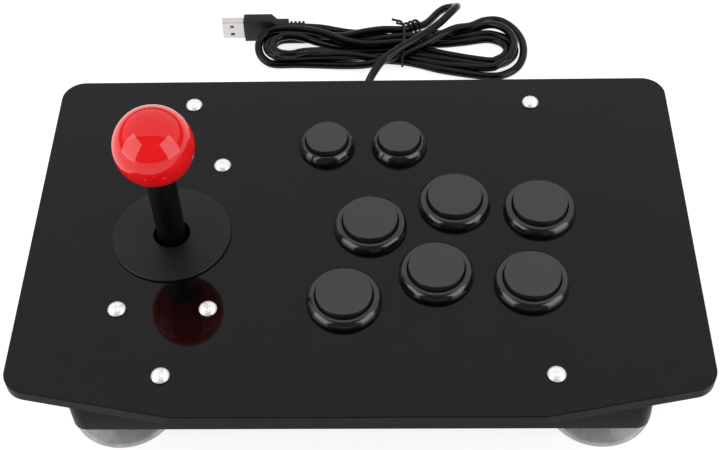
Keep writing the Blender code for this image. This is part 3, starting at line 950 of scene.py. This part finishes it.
def make_panel():
    """The acrylic top with polished faces, a scraped edge and its holes."""
    stick = foot_of("stick_shaft")
    holes = [ring_of(STICK_HOLE_R, 64, stick.x, stick.y)]
    for corner in CORNERS:
        for kind in ("panel_screw_", "stick_screw_"):
            place = foot_of(kind + corner)
            holes.append(ring_of(SCREW_HOLE_R, 24, place.x, place.y))
    for button in BUTTONS:
        place = foot_of("button_body_" + button)
        hole_r = SMALL_BUTTON[1] if button in SMALL else LARGE_BUTTON[1]
        holes.append(ring_of(hole_r, 64, place.x, place.y))
    edge = 0.3
    levels = [
        (panel_outline(edge), PANEL_UNDER),
        (panel_outline(0.0), PANEL_UNDER + edge),
        (panel_outline(0.0), PANEL_TOP - edge),
        (panel_outline(edge), PANEL_TOP),
    ]
    panel = finished("acrylic_panel", plate(levels, holes))
    dress(panel, "face", "panel", "case", "top_panel")
    panel.data.materials.append(LOOK["edge"])
    for face in panel.data.polygons:
        face.material_index = 0 if abs(face.normal.z) > 0.9 else 1


def make_case():
    """The moulded tub, with its edges eased."""
    case = softened("case_tub", "bottom_case", 0.15, segments=3)
    dress(case, "abs", "case", "case", "bottom_case")


def dome_screw(length):
    """A domed head on its shank."""
    head_r, shank_r = 4.0, 2.0
    profile = [(0, HEAD_HEIGHT)]
    for angle in range(6, 85, 6):
        turn = math.radians(angle)
        profile.append((head_r * math.sin(turn), HEAD_HEIGHT * math.cos(turn)))
    profile += [(head_r, 0.15), (head_r - 0.1, 0), (shank_r, 0), (shank_r, -length), (0, -length)]
    return lathe(profile, 48)


def make_screws():
    """Nickel plated screws with a shallow cross recess, in the panel and the lever's plate."""
    long, wide, deep = 3.4, 0.5, 0.6
    for kind, length in (("panel_screw_", 18.0), ("stick_screw_", 11.0)):
        for corner in CORNERS:
            node = kind + corner
            place = foot_of(node)
            at = (place.x, place.y, PANEL_TOP + GAP)
            screw = finished("bolt_" + node, moved(dome_screw(length), at))
            arms = []
            for size in ((long, wide, deep), (wide, long, deep)):
                arms.append(block(size, (at[0], at[1], at[2] + HEAD_HEIGHT)))
            cut(screw, *arms)
            dress(screw, "nickel", "bolt", body_of(node), node)


def make_cups():
    """Cloudy suction cups with a rounded rim."""
    profile = eased(
        [
            (0, 20.0),
            (4.4, 19.4, 0.8),
            (5.6, 17.3, 0.2),
            (3.9, 17.3),
            (3.9, 13.7),
            (9.0, 13.7, 0.8),
            (10.2, 10.5, 1.0),
            (17.0, 6.6, 3.0),
            (23.6, 2.4, 0.8),
            (24.6, 1.0, 0.3),
            (24.6, 0.0, 0.3),
            (22.0, 0.0, 0.3),
            (21.0, 0.8, 0.5),
            (15.0, 4.4, 2.0),
            (7.0, 7.2, 2.0),
            (0, 7.8),
        ]
    )
    for corner in CORNERS:
        node = "suction_cup_" + corner
        cup = finished("cup_" + corner, moved(lathe(profile), foot_of(node)), sharp=50)
        dress(cup, "cup", "cup", "case", node)


# ---------------------------------------------------------------- buttons and lever


def make_button(button):
    """A snap-in button: the glossy body with its crowned rim, and the satin plunger."""
    plunger_r, hole_r, rim_r = SMALL_BUTTON if button in SMALL else LARGE_BUTTON
    bore_r = plunger_r + 0.45
    barrel_r = hole_r - 0.4
    floor, web = BUTTON_FLOOR, 1.5
    skirt = floor - 6.0
    place = foot_of("button_body_" + button)
    at = (place.x, place.y, PANEL_TOP)
    body = eased(
        [
            (rim_r, GAP, 0.1),
            (rim_r, 1.5, 0.5),
            (rim_r - 1.0, 3.8, 1.1),
            (bore_r + 1.2, 4.6, 0.6),
            (bore_r, 4.5, 0.3),
            (bore_r, floor),
            (3.0, floor),
            (3.0, floor - web),
            (bore_r, floor - web),
            (bore_r, skirt),
            (barrel_r, skirt),
            (barrel_r, GAP),
        ]
    )
    rim = finished("rim_" + button, moved(lathe(body), at))
    dress(rim, "rim", "button_rim", "case", "button_body_" + button)
    top, wall, crown, foot = PLUNGER_HEIGHT, 1.6, 2.2, -11.0
    plunger = eased(
        [
            (0, top),
            (plunger_r, top, 0.5),
            (plunger_r, foot),
            (plunger_r - wall, foot),
            (plunger_r - wall, top - crown),
            (2.0, top - crown),
            (2.0, floor + 1.2),
            (0, floor + 1.2),
        ],
        steps=6,
    )
    cap = finished("cap_" + button, moved(lathe(plunger), at))
    node = "button_plunger_" + button
    dress(cap, "cap", "button_cap", body_of(node), node)


def make_ball():
    """The polished ball with a fine moulding line low down, a flat below and its socket."""
    low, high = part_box("ball_top")
    centre = Vector(((low.x + high.x) / 2, (low.y + high.y) / 2, high.z)) / MM
    centre.z -= BALL_R
    flat_r = 7.1
    last = math.degrees(math.acos(flat_r / BALL_R))
    seam, seam_width, seam_depth = -24.0, 1.2, 0.12  # degrees, degrees and mm
    socket_top = 5.0
    profile = [(0, BALL_R)]
    steps = 56
    for i in range(1, steps + 1):
        angle = 90 - (90 + last) * i / steps
        radius = BALL_R - seam_depth * math.exp(-(((angle - seam) / seam_width) ** 2))
        turn = math.radians(angle)
        profile.append((radius * math.cos(turn), radius * math.sin(turn)))
    flat = profile[-1][1]
    profile += [(SHAFT_BORE_R, flat), (SHAFT_BORE_R, socket_top), (0, socket_top)]
    ball = finished("ball_polished", moved(lathe(profile, 128), centre))
    dress(ball, "ball", "ball", "stick", "ball_top")


def make_sleeve():
    """The smooth tube over the shaft, with its end edges eased."""
    low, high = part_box("shaft_sleeve")
    x, y = (low.x + high.x) / 2 / MM, (low.y + high.y) / 2 / MM
    bottom, top = low.z / MM, high.z / MM
    outside = [(SLEEVE_R, bottom, 0.5), (SLEEVE_R, top, 0.3)]
    profile = eased([(SHAFT_BORE_R, bottom), *outside, (SHAFT_BORE_R, top)])
    sleeve = finished("sleeve_tube", moved(lathe(profile), (x, y, 0)))
    dress(sleeve, "sleeve", "sleeve", "stick", "shaft_sleeve")


def make_dust_washers():
    """The wide washer on the panel and the small one under it, with rounded edges."""
    for node, inner, outer, thick in (
        ("dust_washer", 8.3, 27.2, 1.0),
        ("inner_dust_washer", 8.6, 15.5, 0.7),
    ):
        profile = [
            (inner, 0),
            (outer, 0, 0.15),
            (outer, thick, 0.8),
            ((inner + outer) / 2, thick),
            (inner, thick, 0.2),
        ]
        mesh = moved(lathe(eased(profile), 128), foot_of(node))
        washer = finished("round_" + node, mesh, sharp=50)
        dress(washer, "washer", "washer", body_of(node), node)


INSIDE = {
    "stick_mount_plate": "zinc",
    "stick_housing": "abs",
    "stick_switch_board": "board",
    "restrictor_gate": "pom",
    "stick_shaft": "zinc",
    "pivot_bush": "pom",
    "stick_actuator": "pom",
    "retaining_clip": "zinc",
    "return_spring": "zinc",
    "encoder_board": "board",
    "usb_tongue": "pom",
}


def dress_inside():
    """Materials for the CAD nodes that keep their own shape."""
    looks = dict(INSIDE)
    for button in BUTTONS:
        looks["button_switch_" + button] = "switch"
    for node, look in looks.items():
        for holder in frame["nodes"][node].material_slots:
            holder.material = LOOK[look]


make_camera()
lead = dress(
    tube("usb_lead", smooth(cord_route()), CORD_R),
    "cord",
    "cord",
    "case",
    "cord_lead",
    "cord_hank",
    "cord_tail",
)
grommet = make_grommet()
tie = make_tie()
moulding, shell = make_plug()
make_panel()
make_case()
make_screws()
make_cups()
for button in BUTTONS:
    make_button(button)
make_ball()
make_sleeve()
make_dust_washers()
dress_inside()
make_studio()
make_floor()
